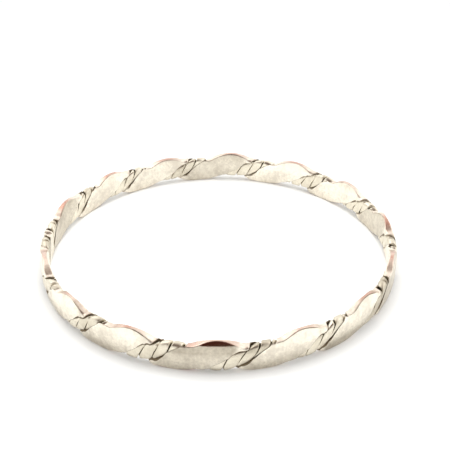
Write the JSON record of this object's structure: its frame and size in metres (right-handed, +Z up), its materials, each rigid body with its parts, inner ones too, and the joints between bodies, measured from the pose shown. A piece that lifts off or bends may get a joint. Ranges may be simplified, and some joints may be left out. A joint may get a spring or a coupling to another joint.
{
  "type": "bangle",
  "caption": "Rigid closed silver bangle: a flat strip and a rope of wires twisted together, rolled flat and soldered into a ring.",
  "frame": {"origin": "middle of the ring's outline, on the level that the lower edge rests on", "axes": "+Z up through the wrist hole, across the band's height; -Y is the front of the picture; +X is to the right"},
  "size_m": [0.0678, 0.0676, 0.0065],
  "materials": {
    "silver_strip": "satin silver, hand worn, with dark tarnish beside the rope and a rosy stain on the edges",
    "silver_wire": "satin silver wire, bright on top and tarnished dark in the grooves"
  },
  "bodies": {
    "root": {"ribbon_strand": "silver_strip", "wire_strand_a": "silver_wire", "wire_strand_b": "silver_wire"}
  },
  "joints": []
}
